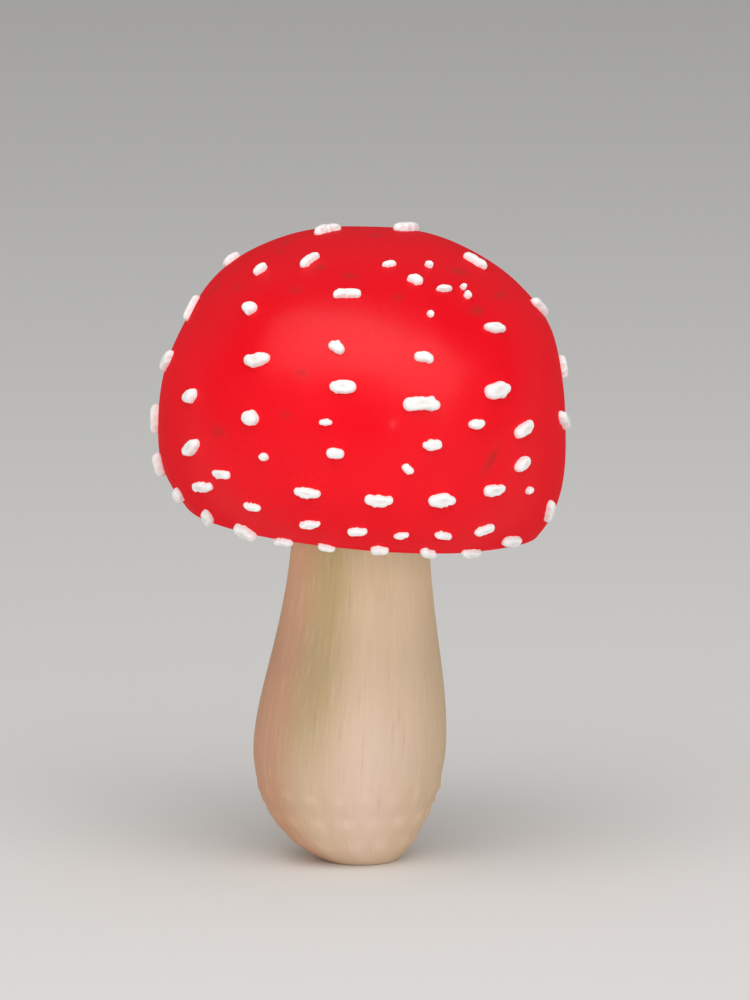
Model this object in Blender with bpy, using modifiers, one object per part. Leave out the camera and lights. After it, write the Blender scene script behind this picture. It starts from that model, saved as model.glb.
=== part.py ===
"""A young fly agaric, picked and stood on its bulb: the cap with its warts, the gills under it, and the stem.

Run with: blender --background --python part.py
The origin is the middle of the flat spot that the bulb rests on. +Z is up and the front faces -Y.
"""

import math
import random

import bmesh
import bpy
from mathutils import Matrix, Vector

MM = 0.001

# Cap: a superellipse dome over its widest level, which tucks in below it to the rim.
CAP_RADIUS = 40.6 * MM
CROWN_RISE = 42.4 * MM
TUCK_DROP = 26.7 * MM
ROUNDNESS = 2.38
WIDEST_Z = 85.3 * MM
RIM_DOWN = 116.0  # degrees down from the crown, seen from the middle of the widest level
DOME_STEP = 8.3  # degrees of the dome between two rings of its mesh
MARGIN_THICKNESS = 1.9 * MM
CAP_SIDES = 56

# How the cap settled as it grew: its rim hangs lower on the right, and its shoulder leans that way.
RIM_TILT = 0.082
TILT_TOP_Z = 92.0 * MM
SHOULDER_LEAN = 1.0 * MM
SHOULDER_Z = 109.0 * MM
SHOULDER_SPREAD = 9.0 * MM
OUT_OF_ROUND = ((2, 0.010, -20.0), (3, 0.007, 110.0))  # waves round the cap, share of the radius, degrees
ROUND_CORE = 20.0 * MM  # inside this radius nothing is out of round

# Flesh over the gills: a quarter superellipse from the margin up to the stem's socket.
SOCKET_RADIUS = 13.55 * MM
FLESH_Z = 95.5 * MM
SOCKET_DEPTH = 2.3 * MM
FLESH_ROUNDNESS = 2.4
FLESH_SHARES = (0.18, 0.38, 0.58, 0.78)  # where its mesh has rings, between margin 0 and socket 1
GAP = 0.35 * MM  # between two nodes that touch

# Gills
GILL_COUNT = 42
GILL_THICKNESS = 0.7 * MM
GILL_BED = 1.4 * MM  # thickness of the layer that the gills grow from
GILL_INNER_RADIUS = 16.0 * MM
BED_ENDS = (0.03, 0.93)  # as shares of the flesh's curve
ROOT_ENDS = (0.06, 0.9)  # the gills' roots stop short of the bed's ends
GILL_EDGE_RISE = 11.0 * MM  # from the margin up to the gills' inner ends
GILL_BELLY = 0.8 * MM

# Warts
WART_HEIGHT = 0.6 * MM  # of one with no width, and each wart's width adds its share
WART_HEIGHT_PER_WIDTH = 0.45
WART_HEIGHT_MOST = 1.9 * MM
WART_ROOT = 1.0 * MM
WART_SIDES = 6
WART_SEED = 21
FAR_SLIMNESS = (0.42, 0.6)  # a far wart's width as a share of its length
WART_TOP = 0.72  # share of its base that a wart's top keeps
WART_DIP = 0.3  # how far a corner of a wart's top can be worn down, share of its height
FAR_WARTS = 44
FAR_SPACING = 7.8 * MM
FRONT_VIEW = Vector((0.0, -0.985, 0.174))  # towards someone who looks at the front, from a little above
FAR_FACING = -0.36  # on the far side the skin faces away from them by more than this

# The warts of the front, from the crown down: degrees round from the front, degrees down from the crown, length and
# width in mm, and the turn of the length in degrees from level.
FRONT_WARTS = (
    (-84, 9.3, 7.1, 2.4, -47), (114, 13.2, 8.1, 2.8, -55), (-30, 27.6, 5, 1.8, 74), (15, 29, 2.9, 1.3, 0),
    (37, 30.4, 1.9, 1.3, -1), (71, 32.6, 5.3, 2.1, -82), (-100, 36.5, 4.2, 2.1, -50), (-54, 34.1, 3.1, 1.8, 70),
    (24, 35.7, 3.2, 2, -40), (-6, 39.9, 5.6, 1.8, -2), (35, 39.5, 3.5, 1.3, -7), (45, 39.6, 1.4, 1.2, 0),
    (44, 42.4, 1.5, 1.3, 0), (-45, 46.8, 3.3, 2.5, 0), (24, 46.8, 1.4, 1.2, -17), (-89, 52.3, 6.1, 2.1, -58),
    (47, 52.7, 5.3, 2.1, -16), (89, 51.8, 6.7, 2.3, -40), (-9, 55.6, 3.5, 2.2, -29), (-35, 60.7, 5.9, 2.7, 14),
    (18, 58.5, 4, 2, -13), (-87, 67.4, 5.7, 2.5, 48), (-6, 66.2, 5.3, 2.8, -4), (42, 69.3, 6.4, 3.1, 8),
    (91, 69.5, 4.8, 2.2, 84), (-59, 73, 4.1, 2.4, 29), (17, 70.8, 7.6, 2.8, 0), (-33, 76.1, 3.7, 2.8, 3),
    (-10, 75.7, 2.6, 1.3, 8), (34, 77.6, 3.6, 1.9, -2), (52, 81, 5.8, 2.5, 17), (-92, 84.6, 6.2, 2.6, -86),
    (-7, 84.2, 3.6, 2.2, 0), (20, 82.3, 4, 2.1, 2), (79, 82.5, 7.2, 2.5, -31), (-56, 87.3, 5.5, 2.6, 34),
    (-28, 86.4, 1.9, 1.5, 13), (13, 88.5, 2.6, 1.7, -22), (51, 90, 4.4, 2.4, 16), (-43, 93.8, 4.7, 1.6, 0),
    (-86, 99, 5, 3, 80), (-15, 96, 5.4, 2.1, -2), (5, 97.1, 5.7, 2.4, -4), (23, 96.9, 5.7, 2.6, 2),
    (40, 95.4, 5.1, 2.3, -1), (55, 96.8, 2, 1.3, 14), (-52, 99.7, 6.5, 2, 5), (-33, 103, 3.9, 1.5, -4),
    (39, 106, 4.7, 1.6, 10), (71, 104, 5.2, 2.2, -58), (-15, 106.1, 4.4, 1.6, 5), (-1, 107, 4, 1.5, 5),
    (12, 107.5, 3, 1.3, 9), (25, 107.3, 3.8, 1.5, -15), (-72, 107, 3.8, 2.4, 60), (-57, 111.7, 4.5, 2.5, 52),
    (-40, 113.4, 5.2, 2.8, -19), (6, 113.5, 3.6, 1.8, 0), (54, 111.1, 6, 2.1, -6), (-26, 114.7, 4.4, 1.5, 5),
    (-11, 114.6, 3.5, 1.4, -14), (22, 114.2, 4.1, 1.8, -25), (38, 114.4, 5.1, 1.7, -10),
)

# Stem: the bulb below its widest level is a superellipse cut flat, and above it the stem narrows on a bell curve.
STEM_TOP_Z = FLESH_Z + SOCKET_DEPTH - GAP
STEM_RADIUS = 13.1 * MM
BULB_RADIUS = 19.3 * MM
BULB_Z = 23.5 * MM
BULB_DROP = 26.0 * MM
BULB_ROUNDNESS = 1.85
NECK_SPREAD = 27.0 * MM
NECK_POWER = 1.85
BULB_LEAN = -2.6 * MM  # how far the bulb bulges to the left of the flat spot and of the cap
LEAN_START = 4.0 * MM
LEAN_Z = 12.0 * MM
LEAN_SPREAD = 32.0 * MM
STEM_SIDES = 60
BULB_STEP = 2.5 * MM  # between two rings of the mesh, where the scales are
NECK_STEP = 8.0 * MM
SCALES_TOP_Z = 20.0 * MM
SCALE_ROWS = ((4.0, 13, 0.0), (9.2, 17, 0.9), (14.6, 19, 2.1))  # mm up, scales round the bulb, radians of turn
SCALE_HEIGHT = 0.5 * MM
SCALE_HALF_ROW = 2.6 * MM

# Ring: a short pleated skirt high on the stem, under the gills.
RING_SKIRT = ((12.4, 80.4), (14.6, 79.3), (16.9, 76.9), (18.6, 73.9), (19.4, 71.6))  # mm out and up, its outer face
RING_THICKNESS = 1.0 * MM
RING_SIDES = 36
RING_PLEATS = 9
RING_WAVE = 0.6 * MM

RED = (0.78, 0.012, 0.018, 1.0)
WHITE = (0.92, 0.90, 0.86, 1.0)
GILL_CREAM = (0.86, 0.80, 0.68, 1.0)
STEM_TAN = (0.62, 0.46, 0.31, 1.0)


def clear_scene():
    for obj in list(bpy.data.objects):
        bpy.data.objects.remove(obj, do_unlink=True)


def new_collection(name):
    collection = bpy.data.collections.new(name)
    bpy.context.scene.collection.children.link(collection)
    return collection


def new_material(name, colour, roughness):
    material = bpy.data.materials.new(name)
    material.use_nodes = True
    shader = material.node_tree.nodes["Principled BSDF"]
    shader.inputs["Base Color"].default_value = colour
    shader.inputs["Roughness"].default_value = roughness
    shader.inputs["Metallic"].default_value = 0.0
    return material


def smooth(share):
    share = min(max(share, 0.0), 1.0)
    return share * share * (3.0 - 2.0 * share)


def superellipse(across, along, power, angle):
    """(across, along) of the point at this angle, in radians, from the along axis, seen from the centre."""
    reach = (abs(math.sin(angle) / across) ** power + abs(math.cos(angle) / along) ** power) ** (-1.0 / power)
    return reach * math.sin(angle), reach * math.cos(angle)


def cap_outline(down):
    """Radius and height of the cap's skin, this many degrees down from the crown."""
    along = CROWN_RISE if down <= 90.0 else TUCK_DROP
    radius, rise = superellipse(CAP_RADIUS, along, ROUNDNESS, math.radians(down))
    return radius, WIDEST_Z + rise


RIM_RADIUS, RIM_Z = cap_outline(RIM_DOWN)


def settle(point):
    """Where a point of the evenly turned cap lies once the cap has settled."""
    x, y, z = point
    radius = math.hypot(x, y)
    turn = math.atan2(x, -y)
    low = smooth((TILT_TOP_Z - z) / (TILT_TOP_Z - RIM_Z))
    shoulder = math.exp(-(((z - SHOULDER_Z) / SHOULDER_SPREAD) ** 2))
    swell = smooth((radius - ROUND_CORE) / (RIM_RADIUS - ROUND_CORE)) * sum(
        share * math.sin(waves * turn + math.radians(start)) for waves, share, start in OUT_OF_ROUND
    )
    return Vector((x * (1.0 + swell) + SHOULDER_LEAN * shoulder, y * (1.0 + swell), z - RIM_TILT * x * low))


def cap_surface(turn, down):
    """A point of the settled skin: degrees round from the front towards +X, and degrees down from the crown."""
    radius, z = cap_outline(down)
    angle = math.radians(turn)
    return settle((radius * math.sin(angle), -radius * math.cos(angle), z))


def cap_frame(turn, down):
    """The skin's matrix at a point: X round the cap, Y up the cap, Z straight out of it."""
    step = 0.5
    here = cap_surface(turn, down)
    upward = (cap_surface(turn, down - step) - cap_surface(turn, down + step)).normalized()
    around = cap_surface(turn + step, down) - cap_surface(turn - step, down)
    outward = around.cross(upward).normalized()
    around = upward.cross(outward)
    frame = Matrix((around, upward, outward)).transposed().to_4x4()
    frame.translation = here
    return frame


def apply_modifier(obj, modifier):
    bpy.context.view_layer.objects.active = obj
    with bpy.context.temp_override(object=obj, active_object=obj, selected_objects=[obj]):
        bpy.ops.object.modifier_apply(modifier=modifier.name)


def turned(name, outline, sides, collection, closed=False):
    """A solid of revolution about Z. The outline's (radius, height) points run down its outer side."""
    mesh = bpy.data.meshes.new(name)
    edges = [(i, i + 1) for i in range(len(outline) - 1)]
    if closed:
        edges.append((len(outline) - 1, 0))
    mesh.from_pydata([(radius, 0.0, z) for radius, z in outline], edges, [])
    obj = bpy.data.objects.new(name, mesh)
    collection.objects.link(obj)
    screw = obj.modifiers.new("Screw", "SCREW")
    screw.axis = "Z"
    screw.steps = sides
    screw.render_steps = sides
    screw.use_merge_vertices = True
    screw.merge_threshold = 0.00001
    apply_modifier(obj, screw)
    return obj


def reshape(obj, rule):
    """Moves every vertex of the object to where the rule says."""
    for vertex in obj.data.vertices:
        vertex.co = rule(vertex.co)
    obj.data.update()


def fuse(obj, pieces):
    """Joins a collection's solids to the object by one union, and removes them."""
    union = obj.modifiers.new("Union", "BOOLEAN")
    union.operation = "UNION"
    union.operand_type = "COLLECTION"
    union.solver = "EXACT"
    union.collection = pieces
    union.material_mode = "TRANSFER"
    apply_modifier(obj, union)
    for piece in list(pieces.objects):
        bpy.data.objects.remove(piece, do_unlink=True)
    bpy.data.collections.remove(pieces)


def finish(obj, crease_degrees=35.0):
    obj.data.shade_smooth()
    obj.data.set_sharp_from_angle(angle=math.radians(crease_degrees))


def flesh_point(inset, share):
    """Radius and height on the cap's inner surface, moved in by inset. Share 0 is at the margin, 1 at the socket."""
    angle = math.radians(90.0 * share)
    reach_out = RIM_RADIUS - MARGIN_THICKNESS - SOCKET_RADIUS - inset
    reach_up = FLESH_Z - RIM_Z - inset
    power = 2.0 / FLESH_ROUNDNESS
    return (
        SOCKET_RADIUS + reach_out * math.cos(angle) ** power,
        RIM_Z + reach_up * math.sin(angle) ** power,
    )


def place_warts():
    """(turn, down, length, width, twist) of every wart: those of the front, then a scatter on the far side."""
    draw = random.Random(WART_SEED)
    places = [(turn, down, length * MM, width * MM, twist) for turn, down, length, width, twist in FRONT_WARTS]
    spots = [cap_surface(turn, down) for turn, down, *_ in places]
    wanted = len(places) + FAR_WARTS
    while len(places) < wanted:
        turn = draw.uniform(90.0, 270.0)
        down = draw.uniform(20.0, RIM_DOWN - 2.0)
        length = draw.uniform(2.6, 6.4) * MM
        frame = cap_frame(turn, down)
        far = frame.col[2].to_3d().dot(FRONT_VIEW) < FAR_FACING
        clear = all((frame.translation - spot).length > FAR_SPACING for spot in spots)
        if far and clear:
            places.append((turn, down, length, length * draw.uniform(*FAR_SLIMNESS), draw.uniform(-25.0, 25.0)))
            spots.append(frame.translation)
    return places


def add_wart(index, wart, collection, material):
    """One low, uneven, flat-topped lump with its root in the flesh."""
    turn, down, length, width, twist = wart
    draw = random.Random(WART_SEED * 1000 + index)
    tall = min(WART_HEIGHT + WART_HEIGHT_PER_WIDTH * width, WART_HEIGHT_MOST)
    body = bmesh.new()
    bmesh.ops.create_cone(
        body,
        cap_ends=True,
        segments=WART_SIDES,
        radius1=0.5,
        radius2=0.5 * WART_TOP,
        depth=tall + WART_ROOT,
    )
    for vertex in body.verts:
        uneven = draw.uniform(0.88, 1.16)
        vertex.co.x *= length * uneven
        vertex.co.y *= width * uneven
        vertex.co.z += (tall - WART_ROOT) / 2.0
        if vertex.co.z > 0.0:
            vertex.co.z -= tall * draw.uniform(0.0, WART_DIP)
    mesh = bpy.data.meshes.new(f"wart_{index:03d}")
    body.to_mesh(mesh)
    body.free()
    mesh.transform(cap_frame(turn, down) @ Matrix.Rotation(math.radians(twist), 4, "Z"))
    mesh.materials.append(material)
    collection.objects.link(bpy.data.objects.new(mesh.name, mesh))


def build_cap(collection):
    rings = round(RIM_DOWN / DOME_STEP)
    outline = [cap_outline(RIM_DOWN * i / rings) for i in range(rings + 1)]
    outline[0] = (0.0, WIDEST_Z + CROWN_RISE)
    outline.append((RIM_RADIUS - MARGIN_THICKNESS / 2.0, RIM_Z - 0.4 * MM))
    outline += [flesh_point(0.0, share) for share in (0.0, *FLESH_SHARES, BED_ENDS[1], 1.0)]
    outline += [(SOCKET_RADIUS, FLESH_Z + SOCKET_DEPTH), (0.0, FLESH_Z + SOCKET_DEPTH)]
    cap = turned("cap", outline, CAP_SIDES, collection)
    reshape(cap, settle)
    cap.data.materials.append(new_material("cap_red", RED, 0.35))
    wart_material = new_material("wart_white", WHITE, 0.8)
    warts = new_collection("warts")
    for index, wart in enumerate(place_warts()):
        add_wart(index, wart, warts, wart_material)
    fuse(cap, warts)
    finish(cap)
    return cap


def gill_edge(radius):
    """Height of the gills' free edge at a radius: a straight rise towards the stem with a slight belly."""
    outer = RIM_RADIUS - MARGIN_THICKNESS
    share = (outer - radius) / (outer - GILL_INNER_RADIUS)
    return RIM_Z + 1.6 * MM + GILL_EDGE_RISE * share - GILL_BELLY * math.sin(math.pi * share)


def gill_outline(shares, clipped):
    """(radius, height) points round one blade: its root in the bed, then its free edge back out to the margin."""
    root = [flesh_point(GAP + GILL_BED / 2.0, share) for share in shares]
    inner = root[-1][0]
    outer = RIM_RADIUS - MARGIN_THICKNESS - 0.9 * MM
    corner = (inner, gill_edge(inner) + 2.6 * clipped)
    edge = [(radius, gill_edge(radius)) for radius in (inner + clipped, (inner + outer) / 2.0, outer)]
    return root + [corner] + edge


def add_gill(name, outline, turn, collection):
    """A blade cut to the outline in the upright plane through the stem's axis, then settled with the cap."""
    blade = bmesh.new()
    half = GILL_THICKNESS / 2.0
    face = blade.faces.new([blade.verts.new((radius, -half, z)) for radius, z in outline])
    grown = bmesh.ops.extrude_face_region(blade, geom=[face])["geom"]
    far = [part for part in grown if isinstance(part, bmesh.types.BMVert)]
    bmesh.ops.translate(blade, verts=far, vec=(0.0, GILL_THICKNESS, 0.0))
    bmesh.ops.recalc_face_normals(blade, faces=blade.faces)
    bmesh.ops.triangulate(blade, faces=blade.faces)
    mesh = bpy.data.meshes.new(name)
    blade.to_mesh(mesh)
    blade.free()
    mesh.transform(Matrix.Rotation(turn, 4, "Z"))
    obj = bpy.data.objects.new(name, mesh)
    collection.objects.link(obj)
    reshape(obj, settle)


def build_gills(collection):
    shares = (BED_ENDS[0], *FLESH_SHARES, BED_ENDS[1])
    outline = [flesh_point(GAP, share) for share in reversed(shares)]
    outline += [flesh_point(GAP + GILL_BED, share) for share in shares]
    gills = turned("gills", outline, GILL_COUNT, collection, closed=True)
    reshape(gills, settle)
    gills.data.materials.append(new_material("gill_cream", GILL_CREAM, 0.7))
    blades = new_collection("blades")
    spacing = 2.0 * math.pi / GILL_COUNT
    roots = (ROOT_ENDS[0], *FLESH_SHARES, ROOT_ENDS[1])
    long_outline = gill_outline(roots, 1.3 * MM)
    short_outline = gill_outline(roots[:-2], 2.4 * MM)
    for index in range(GILL_COUNT):
        add_gill(f"long_gill_{index:02d}", long_outline, (index + 0.25) * spacing, blades)
        add_gill(f"short_gill_{index:02d}", short_outline, (index + 0.75) * spacing, blades)
    fuse(gills, blades)
    finish(gills)
    return gills


def stem_radius(z):
    if z < BULB_Z:
        drop = (BULB_Z - z) / BULB_DROP
        return BULB_RADIUS * (1.0 - drop**BULB_ROUNDNESS) ** (1.0 / BULB_ROUNDNESS)
    return STEM_RADIUS + (BULB_RADIUS - STEM_RADIUS) * math.exp(-(((z - BULB_Z) / NECK_SPREAD) ** NECK_POWER))


def bulb_scale(turn, z):
    """How far the scales of the bulb stand out at this point."""
    height = 0.0
    for level, count, start in SCALE_ROWS:
        row = max(0.0, 1.0 - abs(z - level * MM) / SCALE_HALF_ROW)
        height += SCALE_HEIGHT * row * (0.5 + 0.5 * math.cos(count * turn + start))
    return height


def grow_stem(point):
    """Puts the scales on the turned stem, and leans its bulb to the left."""
    x, y, z = point
    radius = math.hypot(x, y)
    grown = 1.0
    if radius > 0.0:
        grown += bulb_scale(math.atan2(x, -y), z) * smooth(z / BULB_STEP) / radius
    lean = BULB_LEAN * (1.0 - math.exp(-z / LEAN_START)) * math.exp(-(((z - LEAN_Z) / LEAN_SPREAD) ** 2))
    return Vector((x * grown + lean, y * grown, z))


def stem_levels():
    """Heights of the stem's rings, closer together over the scales."""
    low = round(SCALES_TOP_Z / BULB_STEP)
    high = round((STEM_TOP_Z - SCALES_TOP_Z) / NECK_STEP)
    levels = [SCALES_TOP_Z * i / low for i in range(low)]
    return levels + [SCALES_TOP_Z + (STEM_TOP_Z - SCALES_TOP_Z) * i / high for i in range(high + 1)]


def pleat(point):
    """Waves the skirt, more towards its lower edge."""
    x, y, z = point
    turn = math.atan2(x, -y)
    top, bottom = RING_SKIRT[0][1] * MM, RING_SKIRT[-1][1] * MM
    wave = RING_WAVE * smooth((top - z) / (top - bottom)) * math.sin(RING_PLEATS * turn)
    radius = math.hypot(x, y)
    return Vector((x * (1.0 + wave / radius), y * (1.0 + wave / radius), z + 0.5 * wave))


def build_stem(collection):
    outline = [(0.0, STEM_TOP_Z)]
    outline += [(stem_radius(z), z) for z in reversed(stem_levels())]
    outline.append((0.0, 0.0))
    stem = turned("stem", outline, STEM_SIDES, collection)
    reshape(stem, grow_stem)
    stem.data.materials.append(new_material("stem_tan", STEM_TAN, 0.75))
    ring = new_collection("ring")
    outer = [(radius * MM, z * MM) for radius, z in RING_SKIRT]
    inner = [(radius - RING_THICKNESS, z - RING_THICKNESS * 0.4) for radius, z in reversed(outer)]
    skirt = turned("skirt", outer + inner, RING_SIDES, ring, closed=True)
    reshape(skirt, pleat)
    fuse(stem, ring)
    finish(stem)
    return stem


def main():
    clear_scene()
    mushroom = new_collection("Fly agaric")
    build_cap(mushroom)
    build_gills(mushroom)
    build_stem(mushroom)


main()
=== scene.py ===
"""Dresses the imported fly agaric: a red cap, lobed white warts, crowded gills, a fibrous stem and its ring."""

import math
import random

import bpy
from bpy.props import FloatProperty, FloatVectorProperty, IntProperty, PointerProperty
from mathutils import Matrix, Vector, noise


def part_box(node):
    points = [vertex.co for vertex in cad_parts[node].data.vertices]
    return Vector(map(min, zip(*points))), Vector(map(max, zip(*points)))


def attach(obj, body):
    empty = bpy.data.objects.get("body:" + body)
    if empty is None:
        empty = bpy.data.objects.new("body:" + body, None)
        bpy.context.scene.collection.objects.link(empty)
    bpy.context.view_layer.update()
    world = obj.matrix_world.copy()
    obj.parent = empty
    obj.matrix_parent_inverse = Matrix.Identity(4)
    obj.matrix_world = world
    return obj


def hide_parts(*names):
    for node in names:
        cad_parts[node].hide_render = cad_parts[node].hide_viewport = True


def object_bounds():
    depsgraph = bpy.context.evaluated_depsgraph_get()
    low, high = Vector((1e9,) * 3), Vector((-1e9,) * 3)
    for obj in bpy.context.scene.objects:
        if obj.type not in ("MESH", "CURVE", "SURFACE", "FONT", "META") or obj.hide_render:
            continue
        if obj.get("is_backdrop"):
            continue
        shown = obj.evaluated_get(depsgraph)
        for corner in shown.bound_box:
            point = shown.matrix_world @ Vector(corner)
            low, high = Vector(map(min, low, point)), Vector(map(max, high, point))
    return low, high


bl_info = {
    "name": "Fly agaric",
    "version": (1, 0, 0),
    "blender": (4, 5, 0),
    "location": "3D View > Sidebar > Fly agaric",
    "description": "Grows a young fly agaric over its packed solids",
    "category": "Object",
}

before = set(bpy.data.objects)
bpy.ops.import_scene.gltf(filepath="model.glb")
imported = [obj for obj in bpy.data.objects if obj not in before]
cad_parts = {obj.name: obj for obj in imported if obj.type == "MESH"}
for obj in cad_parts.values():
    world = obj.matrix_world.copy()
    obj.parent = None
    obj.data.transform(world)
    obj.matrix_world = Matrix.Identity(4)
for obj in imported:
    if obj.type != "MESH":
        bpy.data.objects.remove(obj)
PACKED_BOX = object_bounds()
STEM_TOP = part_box("stem")[1][2]

MM = 0.001
BODY = "root"
WELD = 0.002 * MM

# The warts of the front, from the crown down: degrees round from the front, degrees down from the crown,
# length and width in mm, and the turn of the length in degrees from level.
FRONT_WARTS = (
    (-84, 9.3, 7.1, 2.4, -47), (114, 13.2, 8.1, 2.8, -55), (-30, 27.6, 5, 1.8, 74), (15, 29, 2.9, 1.3, 0),
    (37, 30.4, 1.9, 1.3, -1), (71, 32.6, 5.3, 2.1, -82), (-100, 36.5, 4.2, 2.1, -50),
    (-54, 34.1, 3.1, 1.8, 70), (24, 35.7, 3.2, 2, -40), (-6, 39.9, 5.6, 1.8, -2), (35, 39.5, 3.5, 1.3, -7),
    (45, 39.6, 1.4, 1.2, 0), (44, 42.4, 1.5, 1.3, 0), (-45, 46.8, 3.3, 2.5, 0), (24, 46.8, 1.4, 1.2, -17),
    (-89, 52.3, 6.1, 2.1, -58), (47, 52.7, 5.3, 2.1, -16), (89, 51.8, 6.7, 2.3, -40),
    (-9, 55.6, 3.5, 2.2, -29), (-35, 60.7, 5.9, 2.7, 14), (18, 58.5, 4, 2, -13), (-87, 67.4, 5.7, 2.5, 48),
    (-6, 66.2, 5.3, 2.8, -4), (42, 69.3, 6.4, 3.1, 8), (91, 69.5, 4.8, 2.2, 84), (-59, 73, 4.1, 2.4, 29),
    (17, 70.8, 7.6, 2.8, 0), (-33, 76.1, 3.7, 2.8, 3), (-10, 75.7, 2.6, 1.3, 8), (34, 77.6, 3.6, 1.9, -2),
    (52, 81, 5.8, 2.5, 17), (-92, 84.6, 6.2, 2.6, -86), (-7, 84.2, 3.6, 2.2, 0), (20, 82.3, 4, 2.1, 2),
    (79, 82.5, 7.2, 2.5, -31), (-56, 87.3, 5.5, 2.6, 34), (-28, 86.4, 1.9, 1.5, 13),
    (13, 88.5, 2.6, 1.7, -22), (51, 90, 4.4, 2.4, 16), (-43, 93.8, 4.7, 1.6, 0), (-86, 99, 5, 3, 80),
    (-15, 96, 5.4, 2.1, -2), (5, 97.1, 5.7, 2.4, -4), (23, 96.9, 5.7, 2.6, 2), (40, 95.4, 5.1, 2.3, -1),
    (55, 96.8, 2, 1.3, 14), (-52, 99.7, 6.5, 2, 5), (-33, 103, 3.9, 1.5, -4), (39, 106, 4.7, 1.6, 10),
    (71, 104, 5.2, 2.2, -58), (-15, 106.1, 4.4, 1.6, 5), (-1, 107, 4, 1.5, 5), (12, 107.5, 3, 1.3, 9),
    (25, 107.3, 3.8, 1.5, -15), (-72, 107, 3.8, 2.4, 60), (-57, 111.7, 4.5, 2.5, 52),
    (-40, 113.4, 5.2, 2.8, -19), (6, 113.5, 3.6, 1.8, 0), (54, 111.1, 6, 2.1, -6),
    (-26, 114.7, 4.4, 1.5, 5), (-11, 114.6, 3.5, 1.4, -14), (22, 114.2, 4.1, 1.8, -25),
    (38, 114.4, 5.1, 1.7, -10),
)

# Faint bruises on the skin: degrees round, degrees down, length and width in mm, twist in degrees, and
# strength, which is less than 0 for the one pale mark.
BRUISES = (
    (9, 76, 2.2, 1.4, 80, -0.9),
    (-73, 21, 4.5, 2.4, 10, 0.7),
    (-60, 25, 3.6, 2.0, 0, 0.6),
    (-77, 44, 4.0, 2.4, 60, 0.8),
    (-60, 41, 3.0, 2.0, 0, 0.5),
    (-28, 39, 3.2, 2.4, 10, 0.6),
    (-22, 30, 2.8, 2.0, 40, 0.9),
    (24, 9, 4.4, 4.0, 0, 0.5),
    (-5, 33, 3.6, 1.8, -10, 0.8),
    (14, 41, 2.6, 2.4, 30, 0.5),
    (-19, 63, 2.8, 2.2, 0, 0.6),
    (-22, 74, 3.0, 2.6, 0, 0.4),
    (51, 34, 5.0, 2.4, -15, 0.9),
    (63, 44, 5.0, 2.0, 0, 0.8),
    (44, 47, 4.6, 2.2, 0, 0.8),
    (-45, 81, 4.6, 2.4, 0, 0.6),
    (39, 88, 7.0, 2.0, 55, 0.9),
    (150, 50, 5.0, 2.6, 20, 0.8),
    (-160, 72, 4.4, 2.2, -15, 0.7),
    (125, 90, 4.8, 2.0, 40, 0.7),
    (-128, 40, 3.6, 2.4, 0, 0.8),
    (172, 28, 3.8, 2.6, 0, 0.6),
    (-115, 95, 4.0, 2.0, 30, 0.7),
)


class CapSizes(bpy.types.PropertyGroup):
    radius: FloatProperty(
        name="Radius", description="Half of the cap's width", default=40.6 * MM, unit="LENGTH"
    )
    crown_rise: FloatProperty(
        name="Crown rise", description="Crown above the widest level", default=42.4 * MM, unit="LENGTH"
    )
    tuck_drop: FloatProperty(
        name="Tuck drop", description="How fast the side tucks in below it", default=26.7 * MM, unit="LENGTH"
    )
    roundness: FloatProperty(name="Roundness", description="2 is an ellipse, more is squarer", default=2.38)
    widest: FloatProperty(
        name="Widest level", description="Above the ground", default=85.3 * MM, unit="LENGTH"
    )
    rim_down: FloatProperty(
        name="Rim", description="Down from the crown", default=math.radians(113.8), subtype="ANGLE"
    )
    margin: FloatProperty(name="Margin", description="Thickness of the rim", default=1.9 * MM, unit="LENGTH")
    rim_tilt: FloatProperty(
        name="Rim tilt", description="How much lower the rim hangs on the right", default=0.082
    )
    lean: FloatProperty(
        name="Shoulder lean", description="Lean to the right", default=1.0 * MM, unit="LENGTH"
    )
    red: FloatVectorProperty(
        name="Red", description="Colour of the skin", default=(0.92, 0.001, 0.011), subtype="COLOR"
    )
    deep_red: FloatVectorProperty(
        name="Deep red", description="Colour of the crown", default=(0.70, 0.001, 0.009), subtype="COLOR"
    )
    flesh: FloatVectorProperty(
        name="Flesh", description="Colour of the flesh", default=(0.84, 0.78, 0.68), subtype="COLOR"
    )
    sides: IntProperty(name="Sides", description="Faces round the cap", default=288, min=24)


class WartSizes(bpy.types.PropertyGroup):
    height: FloatProperty(name="Height", description="Of one with no width", default=0.6 * MM, unit="LENGTH")
    height_per_width: FloatProperty(name="Height by width", description="Added with the width", default=0.45)
    most_height: FloatProperty(name="Most height", description="Of any wart", default=1.9 * MM, unit="LENGTH")
    far_count: IntProperty(
        name="Far warts", description="Warts scattered over the far side", default=44, min=0
    )
    far_spacing: FloatProperty(
        name="Far spacing", description="Between those", default=7.8 * MM, unit="LENGTH"
    )
    seed: IntProperty(name="Seed", description="Draws the far side and the shapes", default=21)
    white: FloatVectorProperty(
        name="White", description="Of the warts", default=(0.97, 0.965, 0.955), subtype="COLOR"
    )
    heart: FloatVectorProperty(
        name="Heart", description="Of the large warts' middles", default=(0.80, 0.70, 0.64), subtype="COLOR"
    )


class GillSizes(bpy.types.PropertyGroup):
    count: IntProperty(name="Full gills", description="Gills from margin to stem", default=84, min=12)
    thickness: FloatProperty(name="Thickness", description="Of a gill", default=0.34 * MM, unit="LENGTH")
    cream: FloatVectorProperty(
        name="Cream", description="Of the gills", default=(0.86, 0.80, 0.67), subtype="COLOR"
    )


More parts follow.
